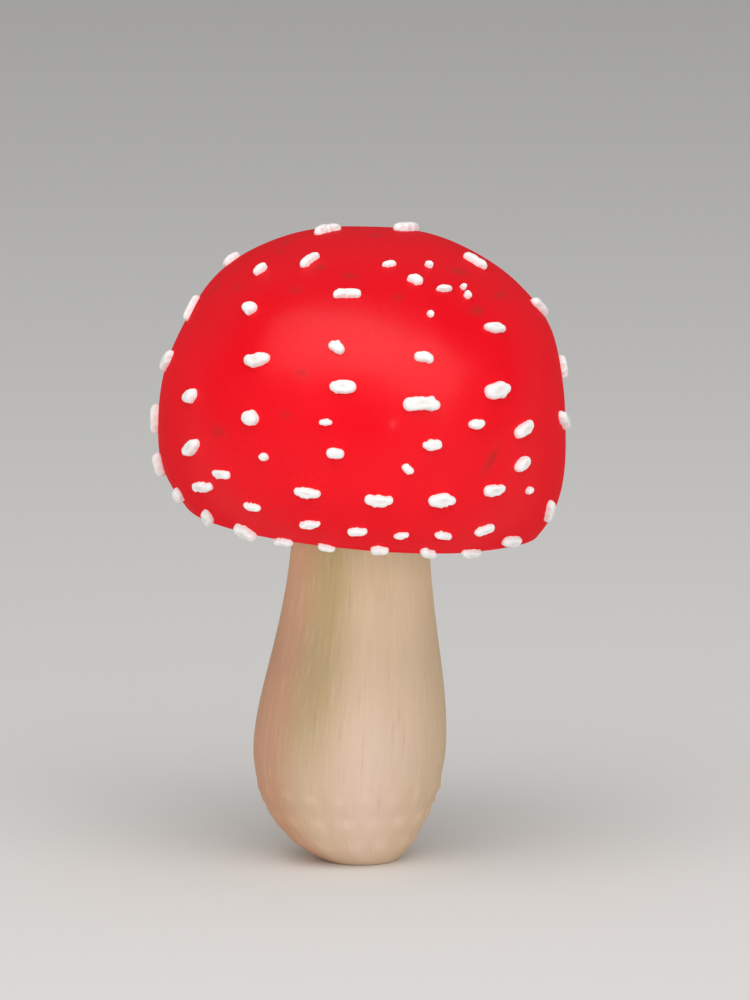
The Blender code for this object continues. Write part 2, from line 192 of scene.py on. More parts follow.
class StemSizes(bpy.types.PropertyGroup):
    radius: FloatProperty(name="Stem radius", description="Under the cap", default=13.1 * MM, unit="LENGTH")
    bulb_radius: FloatProperty(
        name="Bulb radius", description="At its widest", default=19.3 * MM, unit="LENGTH"
    )
    bulb_level: FloatProperty(
        name="Bulb level", description="Where it is widest", default=23.5 * MM, unit="LENGTH"
    )
    scale_height: FloatProperty(
        name="Scale height", description="Of the scales on the bulb", default=0.5 * MM, unit="LENGTH"
    )
    scallop_height: FloatProperty(
        name="Scallop height", description="Of the small scallops there", default=0.38 * MM, unit="LENGTH"
    )
    cream: FloatVectorProperty(
        name="Cream", description="Of the middle", default=(0.70, 0.515, 0.355), subtype="COLOR"
    )
    olive: FloatVectorProperty(
        name="Olive tan", description="Left of it", default=(0.50, 0.36, 0.185), subtype="COLOR"
    )
    pink: FloatVectorProperty(
        name="Pink brown", description="Far left", default=(0.61, 0.33, 0.205), subtype="COLOR"
    )
    tan: FloatVectorProperty(
        name="Tan", description="Right of it", default=(0.63, 0.45, 0.28), subtype="COLOR"
    )
    blush: FloatVectorProperty(
        name="Blush", description="Low middle", default=(0.79, 0.59, 0.48), subtype="COLOR"
    )
    ring: FloatVectorProperty(
        name="Ring", description="Of the ring", default=(0.80, 0.72, 0.55), subtype="COLOR"
    )


class StageSizes(bpy.types.PropertyGroup):
    floor_size: FloatProperty(name="Floor", description="Side of the floor", default=8.0, unit="LENGTH")
    floor_colour: FloatVectorProperty(
        name="Floor colour", description="Of the floor", default=(0.80, 0.79, 0.77), subtype="COLOR"
    )
    distance: FloatProperty(name="Camera distance", description="To the stem", default=2.0, unit="LENGTH")
    elevation: FloatProperty(
        name="Camera elevation", description="Above level", default=math.radians(10.0), subtype="ANGLE"
    )
    tall: FloatProperty(
        name="View height", description="What the camera sees, bottom to top", default=0.2, unit="LENGTH"
    )


def smooth(share):
    share = min(max(share, 0.0), 1.0)
    return share * share * (3.0 - 2.0 * share)


def step_between(value, low, high):
    """0 below low, 1 above high and a soft step between."""
    return smooth((value - low) / (high - low))


def spread(first, last, steps):
    """Evenly spaced numbers from the first to the last."""
    return [first + (last - first) * i / steps for i in range(steps + 1)]


class CapForm:
    """The cap's own shape, which its skin, warts and gills all follow."""

    round_core = 20.0 * MM
    round_edge = 34.3 * MM
    tilt_top = 92.0 * MM
    tilt_bottom = 68.6 * MM
    shoulder = 109.0 * MM
    shoulder_spread = 9.0 * MM
    out_of_round = ((2, 0.010, math.radians(-20.0)), (3, 0.007, math.radians(110.0)))
    socket_radius = 13.55 * MM
    flesh_level = 95.5 * MM
    socket_depth = 2.3 * MM
    flesh_roundness = 2.4

    def __init__(self, sizes):
        self.sizes = sizes
        self.rim_down = math.degrees(sizes.rim_down)
        self.rim_radius, self.rim_level = self.outline(self.rim_down)

    def outline(self, down):
        """Radius and height of the skin, this many degrees down from the crown."""
        sizes = self.sizes
        along = sizes.crown_rise if down <= 90.0 else sizes.tuck_drop
        angle = math.radians(down)
        power = sizes.roundness
        across, up = abs(math.sin(angle) / sizes.radius), abs(math.cos(angle) / along)
        reach = (across**power + up**power) ** (-1.0 / power)
        return reach * math.sin(angle), sizes.widest + reach * math.cos(angle)

    def flesh(self, inset, share):
        """Radius and height under the flesh, moved in by inset: share 0 is at the margin, 1 at the socket."""
        angle = math.radians(90.0 * share)
        out = self.rim_radius - self.sizes.margin - self.socket_radius - inset
        up = self.flesh_level - self.rim_level - inset
        power = 2.0 / self.flesh_roundness
        radius = self.socket_radius + out * math.cos(angle) ** power
        return radius, self.rim_level + up * math.sin(angle) ** power

    def settle(self, point):
        """Where a point of the evenly turned cap lies once the cap has settled."""
        x, y, z = point
        radius = math.hypot(x, y)
        turn = math.atan2(x, -y)
        low = smooth((self.tilt_top - z) / (self.tilt_top - self.tilt_bottom))
        shoulder = math.exp(-(((z - self.shoulder) / self.shoulder_spread) ** 2))
        swell = smooth((radius - self.round_core) / (self.round_edge - self.round_core)) * sum(
            share * math.sin(waves * turn + start) for waves, share, start in self.out_of_round
        )
        grown = 1.0 + swell
        return Vector((x * grown + self.sizes.lean * shoulder, y * grown, z - self.sizes.rim_tilt * x * low))

    def surface(self, turn, down):
        radius, z = self.outline(down)
        angle = math.radians(turn)
        return self.settle((radius * math.sin(angle), -radius * math.cos(angle), z))

    def frame(self, turn, down):
        """The skin's matrix at a point: X round the cap, Y up the cap, Z straight out of it."""
        step = 0.5
        upward = (self.surface(turn, down - step) - self.surface(turn, down + step)).normalized()
        around = self.surface(turn + step, down) - self.surface(turn - step, down)
        outward = around.cross(upward).normalized()
        matrix = Matrix((upward.cross(outward), upward, outward)).transposed().to_4x4()
        matrix.translation = self.surface(turn, down)
        return matrix


class StemForm:
    """The stem's own shape."""

    bulb_drop = 26.0 * MM
    bulb_roundness = 1.85
    neck_spread = 27.0 * MM
    neck_power = 1.85
    bulb_lean = -2.6 * MM
    lean_start = 4.0 * MM
    lean_level = 12.0 * MM
    lean_spread = 32.0 * MM
    scale_rows = ((4.0, 13, 0.0), (9.2, 17, 0.9), (14.6, 19, 2.1))
    scale_half_row = 2.6 * MM
    scallop_row = 2.8 * MM
    scallops_round = 26
    scallop_top = 19.0 * MM
    scallop_fade = 6.0 * MM
    front_wear = 0.85

    def __init__(self, sizes):
        self.sizes = sizes

    def radius(self, z):
        sizes = self.sizes
        if z < sizes.bulb_level:
            drop = (sizes.bulb_level - z) / self.bulb_drop
            return sizes.bulb_radius * (1.0 - drop**self.bulb_roundness) ** (1.0 / self.bulb_roundness)
        bell = math.exp(-(((z - sizes.bulb_level) / self.neck_spread) ** self.neck_power))
        return sizes.radius + (sizes.bulb_radius - sizes.radius) * bell

    def lean(self, z):
        return (
            self.bulb_lean
            * (1.0 - math.exp(-z / self.lean_start))
            * math.exp(-(((z - self.lean_level) / self.lean_spread) ** 2))
        )

    def scale(self, turn, z):
        """How far the scales of the bulb stand out here: blunt uneven points in three rows."""
        height = 0.0
        for level, count, start in self.scale_rows:
            sway = 0.5 * MM * even_noise((math.sin(turn) * 2.3, math.cos(turn) * 2.3, level), 1.0, 1.0)
            reach = (z - sway - level * MM) / self.scale_half_row
            row = smooth(1.0 - abs(reach))
            uneven = 0.62 + 0.40 * even_noise((math.sin(turn) * 4.0, math.cos(turn) * 4.0, level), 1.0, 8.0)
            height += self.sizes.scale_height * row * uneven * (0.5 + 0.5 * math.cos(count * turn + start))
        return height

    def scallop(self, turn, z):
        """How far the small scallops stand out here: staggered uneven rows, worn almost smooth in front."""
        sway = even_noise((math.sin(turn) * 3.1, math.cos(turn) * 3.1, z / (6.0 * MM)), 1.0, 12.0)
        row = z / self.scallop_row + 0.35 * sway
        index = math.floor(row)
        column = turn * self.scallops_round / math.tau + 0.5 * (index % 2) + 0.25 * sway
        place = (math.sin(turn) * 6.0, math.cos(turn) * 6.0, index * 1.7)
        uneven = 0.65 + 0.35 * even_noise(place, 1.0, 15.0)
        fade = smooth((self.scallop_top - z) / self.scallop_fade)
        wear = 1.0 - self.front_wear * smooth((math.cos(turn) - 0.25) / 0.45)
        bead = math.sin(math.pi * (row - index)) * abs(math.cos(math.pi * column)) ** 0.6
        return self.sizes.scallop_height * fade * wear * uneven * bead


class Reading:
    """A shader socket that can be reckoned with as if it were a number."""

    def __init__(self, finish, socket):
        self.finish = finish
        self.socket = socket

    def reckon(self, operation, *values, clamp=False):
        settings = {"operation": operation, "use_clamp": clamp}
        return self.finish.node("ShaderNodeMath", settings, dict(enumerate(values)))

    def __add__(self, other):
        return self.reckon("ADD", self, other)

    def __radd__(self, other):
        return self.reckon("ADD", other, self)

    def __sub__(self, other):
        return self.reckon("SUBTRACT", self, other)

    def __rsub__(self, other):
        return self.reckon("SUBTRACT", other, self)

    def __mul__(self, other):
        return self.reckon("MULTIPLY", self, other)

    def __rmul__(self, other):
        return self.reckon("MULTIPLY", other, self)

    def __truediv__(self, other):
        return self.reckon("DIVIDE", self, other)

    def __pow__(self, other):
        return self.reckon("POWER", self, other)

    def clamped(self):
        return self.reckon("ADD", self, 0.0, clamp=True)

    def bell(self, middle, width):
        """1 where this is at the middle, falling away on both sides over the width."""
        away = (self - middle) / width
        return self.reckon("EXPONENT", away * away * -1.0)


class Finish:
    """One procedural material. Constants are set on its shader's own sockets."""

    def __init__(self, name, **constants):
        self.material = bpy.data.materials.new(name)
        self.material.use_nodes = True
        self.tree = self.material.node_tree
        self.shader = self.tree.nodes["Principled BSDF"]
        for socket, value in constants.items():
            self.shader.inputs[socket.replace("_", " ")].default_value = value

    def put(self, socket, value):
        if isinstance(value, Reading):
            self.tree.links.new(value.socket, socket)
        elif socket.type == "RGBA":
            socket.default_value = (*value, 1.0)
        else:
            socket.default_value = value

    def node(self, kind, settings=None, sockets=None, output=0):
        """Adds a node of this type with its settings and its sockets' values or links. Gives one output."""
        node = self.tree.nodes.new(kind)
        for setting, value in (settings or {}).items():
            setattr(node, setting, value)
        for key, value in (sockets or {}).items():
            self.put(node.inputs[key], value)
        return Reading(self, node.outputs[output])

    def feed(self, **sockets):
        for name, value in sockets.items():
            self.put(self.shader.inputs[name.replace("_", " ")], value)

    def place(self):
        return self.node("ShaderNodeTexCoord", output="Object")

    def painted(self, name):
        """The numbers of this name that paint kept on the mesh."""
        return self.node("ShaderNodeAttribute", {"attribute_name": name}, {}, "Fac")

    def radius(self, x, y):
        """Distance from the upright axis, never quite 0."""
        return (x * x + y * y + 1e-8) ** 0.5

    def axes(self, vector):
        return [self.node("ShaderNodeSeparateXYZ", {}, {"Vector": vector}, axis) for axis in "XYZ"]

    def vector(self, x, y, z):
        return self.node("ShaderNodeCombineXYZ", {}, {"X": x, "Y": y, "Z": z})

    def mix(self, share, first, second):
        return self.node("ShaderNodeMix", {"data_type": "RGBA"}, {0: share, 6: first, 7: second}, 2)

    def scaled(self, colour, share):
        return self.node("ShaderNodeVectorMath", {"operation": "SCALE"}, {"Vector": colour, "Scale": share})

    def cloud(self, vector, scale, detail=3.0, roughness=0.55, seed=0.0):
        sockets = {"Vector": vector, "W": seed, "Scale": scale, "Detail": detail, "Roughness": roughness}
        return self.node("ShaderNodeTexNoise", {"noise_dimensions": "4D"}, sockets, 0)

    def span(self, value, low, high):
        """0 below low, 1 above high and a soft step between."""
        sockets = {"Value": value, "From Min": low, "From Max": high}
        return self.node("ShaderNodeMapRange", {"interpolation_type": "SMOOTHSTEP"}, sockets)

    def bump(self, height, distance, strength=1.0, under=None):
        sockets = {"Height": height, "Distance": distance, "Strength": strength}
        if under is not None:
            sockets["Normal"] = under
        return self.node("ShaderNodeBump", {}, sockets)


def deselect():
    if bpy.context.mode != "OBJECT":
        bpy.ops.object.mode_set(mode="OBJECT")
    bpy.ops.object.select_all(action="DESELECT")


def only(obj):
    deselect()
    obj.select_set(True)
    bpy.context.view_layer.objects.active = obj


def turned(name, section, sides, closed=False):
    """Spins a section of (radius, height) points about the upright axis into one closed body."""
    deselect()
    bpy.ops.mesh.primitive_circle_add(vertices=len(section), fill_type="NOTHING")
    obj = bpy.context.object
    obj.name = obj.data.name = name
    for vertex, (radius, z) in zip(obj.data.vertices, section):
        vertex.co = (radius, 0.0, z)
    last = len(section) - 1
    for edge in obj.data.edges:
        edge.select = not closed and set(edge.vertices) == {0, last}
    for vertex in obj.data.vertices:
        vertex.select = False
    bpy.ops.object.mode_set(mode="EDIT")
    if not closed:
        bpy.ops.mesh.select_mode(type="EDGE")
        bpy.ops.mesh.delete(type="EDGE")
    bpy.ops.mesh.select_mode(type="VERT")
    bpy.ops.mesh.select_all(action="SELECT")
    bpy.ops.mesh.spin(steps=sides, angle=math.tau, center=(0.0, 0.0, 0.0), axis=(0.0, 0.0, 1.0))
    bpy.ops.mesh.select_all(action="SELECT")
    bpy.ops.mesh.remove_doubles(threshold=WELD)
    bpy.ops.mesh.normals_make_consistent(inside=False)
    bpy.ops.object.mode_set(mode="OBJECT")
    return obj


def reshape(obj, rule):
    for vertex in obj.data.vertices:
        vertex.co = rule(vertex.co.copy())
    obj.data.update()


def paint(obj, name, rule):
    """Keeps a number for each vertex on the mesh, for its material to read."""
    attribute = obj.data.attributes.new(name, "FLOAT", "POINT")
    attribute.data.foreach_set("value", [rule(vertex.co) for vertex in obj.data.vertices])


def join(name, pieces):
    deselect()
    for piece in pieces:
        piece.select_set(True)
    bpy.context.view_layer.objects.active = pieces[0]
    bpy.ops.object.join()
    joined = bpy.context.object
    joined.name = joined.data.name = name
    return joined


def dress(obj, finish, node, crease=50.0):
    """Gives a finished piece its material and smooth shading, hangs it from the body and hides the packed part
    of the node it stands for.
    """
    obj.data.materials.clear()
    obj.data.materials.append(finish.material)
    only(obj)
    bpy.ops.object.shade_smooth_by_angle(angle=math.radians(crease))
    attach(obj, BODY)
    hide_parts(node)


def even_noise(point, size, seed=0.0):
    """Smooth noise from -1 to 1 whose lumps are about this size."""
    return noise.noise(Vector(point) / size + Vector((seed, seed * 0.7, -seed)))


# Second colours of the finishes
THREAD_RED = (0.93, 0.010, 0.016)
BRUISE_BROWN = (0.30, 0.030, 0.020)
PALE_MARK = (0.96, 0.10, 0.13)
CRUMB_CREAM = (0.78, 0.74, 0.66)
GILL_SHADE = (0.74, 0.64, 0.48)
FIBRE_LIGHT = (0.80, 0.66, 0.48)
FIBRE_DARK = (0.34, 0.22, 0.12)
CREASE_SHADE = (0.36, 0.24, 0.15)
RING_LINES = (0.64, 0.54, 0.36)
RING_HEM = (0.78, 0.62, 0.30)


def red_finish(sizes):
    finish = Finish("Cap red", Specular_IOR_Level=0.20)
    place = finish.place()
    x, y, z = finish.axes(place)
    out = finish.radius(x, y)
    threads = finish.cloud(finish.vector(x / out, y / out, z * 9.0), 42.0, 4.0, 0.6)
    blotch = finish.cloud(place, 55.0, 3.0, 0.5, 3.0)
    grain = finish.cloud(place, 1500.0, 3.0, 0.6, 5.0)
    # Deeper red towards the crown: partly the crown's own deeper red, partly painted shade that darkens the top
    # of the cap.
    crown = finish.span(z, 98.0 * MM, 126.0 * MM)
    tone = finish.mix((crown * 0.75 + (blotch - 0.5) * 0.5).clamped(), sizes.red, sizes.deep_red)
    tone = finish.mix(((threads - 0.5) * 0.35 + 0.08).clamped(), tone, THREAD_RED)
    bruise = finish.painted("bruise")
    tone = finish.mix((bruise * 0.8).clamped(), tone, BRUISE_BROWN)
    tone = finish.mix((bruise * -0.5).clamped(), tone, PALE_MARK)
    flesh = finish.painted("flesh")
    tone = finish.mix(finish.span(flesh + (blotch - 0.5) * 0.15, 0.4, 0.6), tone, sizes.flesh)
    roughness = 0.27 + (blotch - 0.5) * 0.08 + (grain - 0.5) * 0.06 + bruise.clamped() * 0.1 + flesh * 0.3
    aslant = finish.node("ShaderNodeLayerWeight", {}, {"Blend": 0.5}, "Facing")
    roughness = (roughness + finish.span(aslant, 0.25, 0.70) * 0.6).clamped()
    fibres = finish.bump(threads, 0.06 * MM, 0.5)
    finish.feed(Base_Color=tone, Roughness=roughness, Normal=finish.bump(grain, 0.02 * MM, 0.35, fibres))
    return finish


def wart_finish(sizes):
    finish = Finish("Wart white", Specular_IOR_Level=0.3)
    place = finish.place()
    crumbs = finish.cloud(place, 900.0, 5.0, 0.65)
    felt = finish.cloud(place, 3200.0, 3.0, 0.6, 2.0)
    heart = finish.painted("heart")
    tone = finish.mix((heart * (0.35 + crumbs * 0.5)).clamped(), sizes.white, sizes.heart)
    tone = finish.mix(finish.span(crumbs, 0.62, 0.80) * 0.25, tone, CRUMB_CREAM)
    low = finish.bump(crumbs, 0.22 * MM, 0.8)
    finish.feed(Base_Color=tone, Roughness=0.78 + felt * 0.15, Normal=finish.bump(felt, 0.05 * MM, 0.6, low))
    return finish


def gill_finish(sizes):
    finish = Finish("Gill cream", Specular_IOR_Level=0.3)
    place = finish.place()
    x, y, z = finish.axes(place)
    out = finish.radius(x, y)
    cloud = finish.cloud(place, 260.0, 4.0, 0.6)
    streaks = finish.cloud(finish.vector(x * 5.0, y * 5.0, z), 240.0, 3.0, 0.6, 4.0)
    # Painted shade: the gills darken towards the stem, deep under the cap, on top of their random tone.
    shade = (cloud * 0.6 + finish.span(out, 33.0 * MM, 16.0 * MM) * 0.3).clamped()
    tone = finish.mix(shade, sizes.cream, GILL_SHADE)
    finish.feed(Base_Color=tone, Roughness=0.72 + cloud * 0.14, Normal=finish.bump(streaks, 0.06 * MM, 0.5))
    return finish


def stem_finish(sizes, form):
    finish = Finish("Stem tan", Specular_IOR_Level=0.35)
    place = finish.place()
    x, y, z = finish.axes(place)
    fall = z * (-1.0 / form.lean_start)
    lean_rise = 1.0 - fall.reckon("EXPONENT", fall)
    x = x - z.bell(form.lean_level, form.lean_spread) * lean_rise * form.bulb_lean
    out = finish.radius(x, y)
    side = x / out
    front = finish.span(y / out, 0.30, -0.30)
    fibres = finish.cloud(finish.vector(side, y / out, z * 4.5), 26.0, 5.0, 0.6)
    broad = finish.cloud(finish.vector(side, y / out, z * 9.0), 2.6, 3.0, 0.5, 7.0)
    fuzz = finish.cloud(place, 1100.0, 4.0, 0.6, 2.0)
    drift = side + (broad - 0.5) * 0.10 + (fibres - 0.5) * 0.10
    tone = finish.mix(finish.span(broad, 0.35, 0.70) * 0.35, sizes.cream, sizes.tan)
    tone = finish.mix((1.0 - front) * finish.span(broad, 0.50, 0.72) * 0.6, tone, sizes.olive)
    # Across the front: tan at the right edge, olive and pink brown towards the left, and a lighter blush low in
    # the middle. These are partly the stem's own tones, partly painted shade on the front's left side and right
    # edge, with painted light in the blush.
    tone = finish.mix(front * finish.span(drift, 0.60, 1.0) * 0.6, tone, sizes.tan)
    above_bulb = finish.span(z, 10.0 * MM, 36.0 * MM)
    tone = finish.mix(front * finish.span(drift, 0.16, -0.42) * above_bulb, tone, sizes.olive)
    tone = finish.mix(front * finish.span(drift, -0.45, -0.86), tone, sizes.pink)
    tone = finish.mix(drift.bell(0.20, 0.42) * z.bell(14.0 * MM, 22.0 * MM) * 0.85, tone, sizes.blush)
    tone = finish.mix(finish.span(fibres, 0.50, 0.80) * 0.35, tone, FIBRE_LIGHT)
    tone = finish.mix(finish.span(fibres, 0.46, 0.24) * 0.22, tone, FIBRE_DARK)
    # Painted shade: a little darker in the hollows between the bulb's scales.
    crease = finish.painted("crease")
    tone = finish.mix(crease * 0.09, tone, CREASE_SHADE)
    # Painted light: lighter under the cap against the shade the cap casts there, which also stands for a paler
    # upper stem, and lighter at the foot against the shade near the floor.
    painted_light = finish.span(z, 40.0 * MM, 64.0 * MM) * 0.40 + finish.span(z, 24.0 * MM, 4.0 * MM) * 0.16
    tone = finish.scaled(tone, 1.0 + painted_light)
    low = finish.bump(fibres, 0.30 * MM, 0.55)
    finish.feed(Base_Color=tone, Roughness=0.66 + fuzz * 0.2, Normal=finish.bump(fuzz, 0.06 * MM, 0.5, low))
    return finish


def ring_finish(sizes):
    finish = Finish("Ring cream", Specular_IOR_Level=0.3)
    place = finish.place()
    x, y, z = finish.axes(place)
    out = finish.radius(x, y)
    lines = finish.cloud(finish.vector(x / out, y / out, z * 6.0), 34.0, 3.0, 0.6)
    hem = finish.span(z, 73.5 * MM, 71.2 * MM)
    tone = finish.mix(finish.span(lines, 0.42, 0.68) * 0.5, sizes.ring, RING_LINES)
    tone = finish.mix(hem * 0.6, tone, RING_HEM)
    finish.feed(Base_Color=tone, Roughness=0.7 + lines * 0.15, Normal=finish.bump(lines, 0.15 * MM, 0.6))
    return finish


class AGARIC_OT_cap(bpy.types.Operator):
    """Grow the cap: its skin, its rounded margin and the flesh under it"""

    bl_idname = "agaric.cap"
    bl_label = "Cap"

    dome_rings = 132
    lip_rings = 10
    flesh_rings = 26
    lip_drop = 0.5 * MM
    bruise_reach = 6.0 * MM
    swells = ((15.0 * MM, 2.0, 0.22 * MM), (5.5 * MM, 5.0, 0.05 * MM))  # size, seed and height

    def execute(self, context):
        sizes = context.scene.agaric_cap
        form = CapForm(sizes)
        section = [(0.0, sizes.widest + sizes.crown_rise)]
        section += [form.outline(down) for down in spread(0.0, form.rim_down, self.dome_rings)[1:]]
        lip = sizes.margin / 2.0
        for i in range(1, self.lip_rings):
            angle = math.pi * i / self.lip_rings
            radius = form.rim_radius - lip + lip * math.cos(angle)
            section.append((radius, form.rim_level - self.lip_drop * math.sin(angle)))
        section += [form.flesh(0.0, share) for share in spread(0.0, 1.0, self.flesh_rings)]
        socket = form.flesh_level + form.socket_depth
        section += [(form.socket_radius, socket), (0.0, socket)]
        cap = turned("cap_skin", section, sizes.sides)
        paint(cap, "flesh", lambda place: self.flesh_share(form, place))
        reshape(cap, form.settle)
        self.swell(cap)
        self.bruise(cap, form)
        dress(cap, red_finish(sizes), "cap")
        return {"FINISHED"}

    def flesh_share(self, form, place):
        """0 on the red skin, 1 on the pale flesh inside the margin and under the cap."""
        inside = math.hypot(place.x, place.y) < form.rim_radius - 0.35 * form.sizes.margin
        return float(inside and place.z < form.flesh_level + form.socket_depth + 0.1 * MM)

    def swell(self, cap):
        """Gives the skin the slight unevenness of something grown."""
        normals = [vertex.normal.copy() for vertex in cap.data.vertices]
        for vertex, normal in zip(cap.data.vertices, normals):
            rise = sum(height * even_noise(vertex.co, size, seed) for size, seed, height in self.swells)
            vertex.co += normal * rise

    def bruise(self, cap, form):
        marks = []
        for turn, down, length, width, twist, strength in BRUISES:
            matrix = form.frame(turn, down) @ Matrix.Rotation(math.radians(twist), 4, "Z")
            marks.append((matrix.inverted(), matrix.translation.copy(), length, width, strength))

        def strength_at(place):
            most = 0.0
            for inverse, middle, length, width, strength in marks:
                if (place - middle).length > self.bruise_reach:
                    continue
                local = inverse @ place
                across = (local.x / (0.5 * length * MM)) ** 2 + (local.y / (0.5 * width * MM)) ** 2
                ragged = 0.75 + 0.5 * even_noise(place, 1.2 * MM, 9.0)
                most = max(most, strength * ragged * math.exp(-across * 1.4), key=abs)
            return most

        paint(cap, "bruise", strength_at)


class AGARIC_OT_warts(bpy.types.Operator):
    """Grow the warts: rows of lobed scraps on the front, and a scatter on the far side"""

    bl_idname = "agaric.warts"
    bl_label = "Warts"

    far_slimness = (0.42, 0.6)
    root = 0.9 * MM
    front_view = Vector((0.0, -0.985, 0.174))
    far_facing = -0.36
    far_lowest = 114.0
    roundness = 3.0
    root_roundness = 3.2
    large = (3.6 * MM, 5.2 * MM)  # lengths between which a wart comes to count as large
    heart_large = (3.4 * MM, 5.0 * MM)
    dent = 0.16
    lumps = (1.3 * MM, 0.10 * MM)  # size and height
    crumbs = (0.7 * MM, 0.10 * MM)

    def places(self, sizes, form):
        """(turn, down, length, width, twist) of every wart."""
        draw = random.Random(sizes.seed)
        places = [
            (turn, down, length * MM, width * MM, twist) for turn, down, length, width, twist in FRONT_WARTS
        ]
        spots = [form.surface(turn, down) for turn, down, *_ in places]
        wanted = len(places) + sizes.far_count
        while len(places) < wanted:
            turn = draw.uniform(90.0, 270.0)
            down = draw.uniform(20.0, self.far_lowest)
            length = draw.uniform(2.6, 6.4) * MM
            matrix = form.frame(turn, down)
            far = matrix.col[2].to_3d().dot(self.front_view) < self.far_facing
            clear = all((matrix.translation - spot).length > sizes.far_spacing for spot in spots)
            if far and clear:
                width = length * draw.uniform(*self.far_slimness)
                places.append((turn, down, length, width, draw.uniform(-25.0, 25.0)))
                spots.append(matrix.translation)
        return places

    def lobes(self, draw, length, width):
        """Overlapping rounds (x, y, radius) that together make a wart's outline."""
        half = width / 2.0
        end = length / 2.0 - half
        rounds = [(0.0, 0.0, half * draw.uniform(0.92, 1.04))]
        for side in (-1.0, 1.0):
            size = half * draw.uniform(0.64, 1.0)
            rounds.append((side * (length / 2.0 - size), half * draw.uniform(-0.24, 0.24), size))
            sway, size = half * draw.uniform(-0.12, 0.12), half * draw.uniform(0.85, 1.02)
            rounds.append((side * end * 0.5, sway, size))
        for _ in range(draw.choice((0, 1, 1, 2))):
            size = half * draw.uniform(0.30, 0.42)
            side = draw.choice((-1.0, 1.0))
            rounds.append((draw.uniform(-0.9, 0.9) * end, side * half * draw.uniform(0.72, 0.84), size))
        return rounds

    def reach(self, rounds, angle):
        """How far the outline lies from the middle in this direction."""
        cos, sin = math.cos(angle), math.sin(angle)
        total = 0.0
        for x, y, radius in rounds:
            along = x * cos + y * sin
            inside = along * along - (x * x + y * y - radius * radius)
            if inside >= 0.0:
                total += max(0.0, along + math.sqrt(inside)) ** 14
        return total ** (1.0 / 14.0)

    def shape(self, mesh, draw, sizes, length, width):
        """Shapes a ball's mesh into a flat-topped lobed scrap. Gives each vertex's nearness to its middle."""
        rounds = self.lobes(draw, length, width)
        tall = min(sizes.height + sizes.height_per_width * width, sizes.most_height)
        seed = draw.uniform(0.0, 50.0)
        dent = self.dent * tall * step_between(length, *self.large)
        slope = draw.uniform(-0.12, 0.12), draw.uniform(-0.12, 0.12)
        large = step_between(length, *self.heart_large)
        lump_size, lump_height = self.lumps
        crumb_size, crumb_height = self.crumbs
        hearts = []
        for vertex in mesh.vertices:
            x, y, z = vertex.co.normalized()
            flat = min(1.0, math.hypot(x, y))
            if z > 0.0:
                out = flat ** (2.0 / self.roundness)
            else:
                out = flat ** (2.0 / self.root_roundness) * (1.0 - 0.18 * abs(z))
            angle = math.atan2(y, x)
            reach = self.reach(rounds, angle) * out
            place = Vector((reach * math.cos(angle), reach * math.sin(angle), 0.0))
            if z > 0.0:
                rise = z ** (2.0 / self.roundness) * tall * (0.92 + slope[0] * x + slope[1] * y)
                hollow = dent * math.exp(-((out / 0.42) ** 2))
                place.z = rise + (lump_height * even_noise(place, lump_size, seed) - hollow)
            else:
                place.z = z * self.root
            ragged = crumb_height * even_noise((place.x, place.y, place.z * 1.4), crumb_size, seed + 9.0)
            place += Vector((x, y, max(z, 0.0))) * ragged
            hearts.append(smooth(1.0 - out / 0.62) * large if z > 0.0 else 0.0)
            vertex.co = place
        return hearts

    def execute(self, context):
        sizes = context.scene.agaric_warts
        form = CapForm(context.scene.agaric_cap)
        deselect()
        bpy.ops.mesh.primitive_ico_sphere_add(subdivisions=4, radius=1.0)
        ball = bpy.context.object
        warts = []
        for index, (turn, down, length, width, twist) in enumerate(self.places(sizes, form)):
            draw = random.Random(sizes.seed * 1000 + index)
            mesh = ball.data.copy()
            wart = bpy.data.objects.new(f"wart_{index:03d}", mesh)
            context.collection.objects.link(wart)
            hearts = self.shape(mesh, draw, sizes, length, width)
            mesh.attributes.new("heart", "FLOAT", "POINT").data.foreach_set("value", hearts)
            mesh.transform(form.frame(turn, down) @ Matrix.Rotation(math.radians(twist), 4, "Z"))
            warts.append(wart)
        bpy.data.objects.remove(ball, do_unlink=True)
        dress(join("warts", warts), wart_finish(sizes), "cap", crease=80.0)
        return {"FINISHED"}


